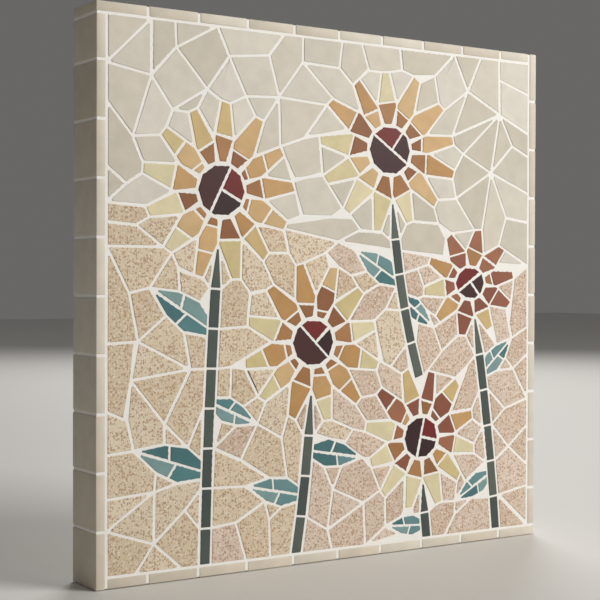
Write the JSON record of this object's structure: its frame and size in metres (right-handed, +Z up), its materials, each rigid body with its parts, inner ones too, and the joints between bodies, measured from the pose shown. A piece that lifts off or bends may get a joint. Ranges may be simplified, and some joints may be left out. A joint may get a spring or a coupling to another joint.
{
  "type": "mosaic wall panel",
  "caption": "Square wall panel of broken tile mosaic with daisies on a plain and a speckled field, edged with square tiles.",
  "frame": {"origin": "centre of the flat back face, which rests on a wall", "axes": "+Y out of the back face into the wall, so the mosaic face looks to -Y; +Z up; +X to the right as seen from the front"},
  "size_m": [0.25, 0.024, 0.25],
  "materials": {
    "plywood": "matte",
    "grout": "matte",
    "pale_tile": "matte",
    "speckled_tile": "matte",
    "golden_tile": "matte",
    "brown_tile": "satin",
    "teal_tile": "matte",
    "edge_tile": "matte"
  },
  "bodies": {
    "root": {"backing_board": "plywood", "edge_grout": "grout", "sky_field": "pale_tile", "sand_field": "speckled_tile", "daisy_1_petals": "golden_tile", "daisy_1_centre": "brown_tile", "daisy_1_stem": "teal_tile", "daisy_2_petals": "golden_tile", "daisy_2_centre": "brown_tile", "daisy_2_stem": "teal_tile", "daisy_3_petals": "golden_tile", "daisy_3_centre": "brown_tile", "daisy_3_stem": "teal_tile", "daisy_4_petals": "golden_tile", "daisy_4_centre": "brown_tile", "daisy_4_stem": "teal_tile", "daisy_5_petals": "golden_tile", "daisy_5_centre": "brown_tile", "daisy_5_stem": "teal_tile", "edge_tile_top_1": "edge_tile", "edge_tile_top_2": "edge_tile", "edge_tile_top_3": "edge_tile", "edge_tile_top_4": "edge_tile", "edge_tile_top_5": "edge_tile", "edge_tile_top_6": "edge_tile", "edge_tile_top_7": "edge_tile", "edge_tile_top_8": "edge_tile", "edge_tile_top_9": "edge_tile", "edge_tile_top_10": "edge_tile", "edge_tile_right_1": "edge_tile", "edge_tile_right_2": "edge_tile", "edge_tile_right_3": "edge_tile", "edge_tile_right_4": "edge_tile", "edge_tile_right_5": "edge_tile", "edge_tile_right_6": "edge_tile", "edge_tile_right_7": "edge_tile", "edge_tile_right_8": "edge_tile", "edge_tile_right_9": "edge_tile", "edge_tile_right_10": "edge_tile", "edge_tile_bottom_1": "edge_tile", "edge_tile_bottom_2": "edge_tile", "edge_tile_bottom_3": "edge_tile", "edge_tile_bottom_4": "edge_tile", "edge_tile_bottom_5": "edge_tile", "edge_tile_bottom_6": "edge_tile", "edge_tile_bottom_7": "edge_tile", "edge_tile_bottom_8": "edge_tile", "edge_tile_bottom_9": "edge_tile", "edge_tile_bottom_10": "edge_tile", "edge_tile_left_1": "edge_tile", "edge_tile_left_2": "edge_tile", "edge_tile_left_3": "edge_tile", "edge_tile_left_4": "edge_tile", "edge_tile_left_5": "edge_tile", "edge_tile_left_6": "edge_tile", "edge_tile_left_7": "edge_tile", "edge_tile_left_8": "edge_tile", "edge_tile_left_9": "edge_tile", "edge_tile_left_10": "edge_tile"}
  },
  "joints": []
}
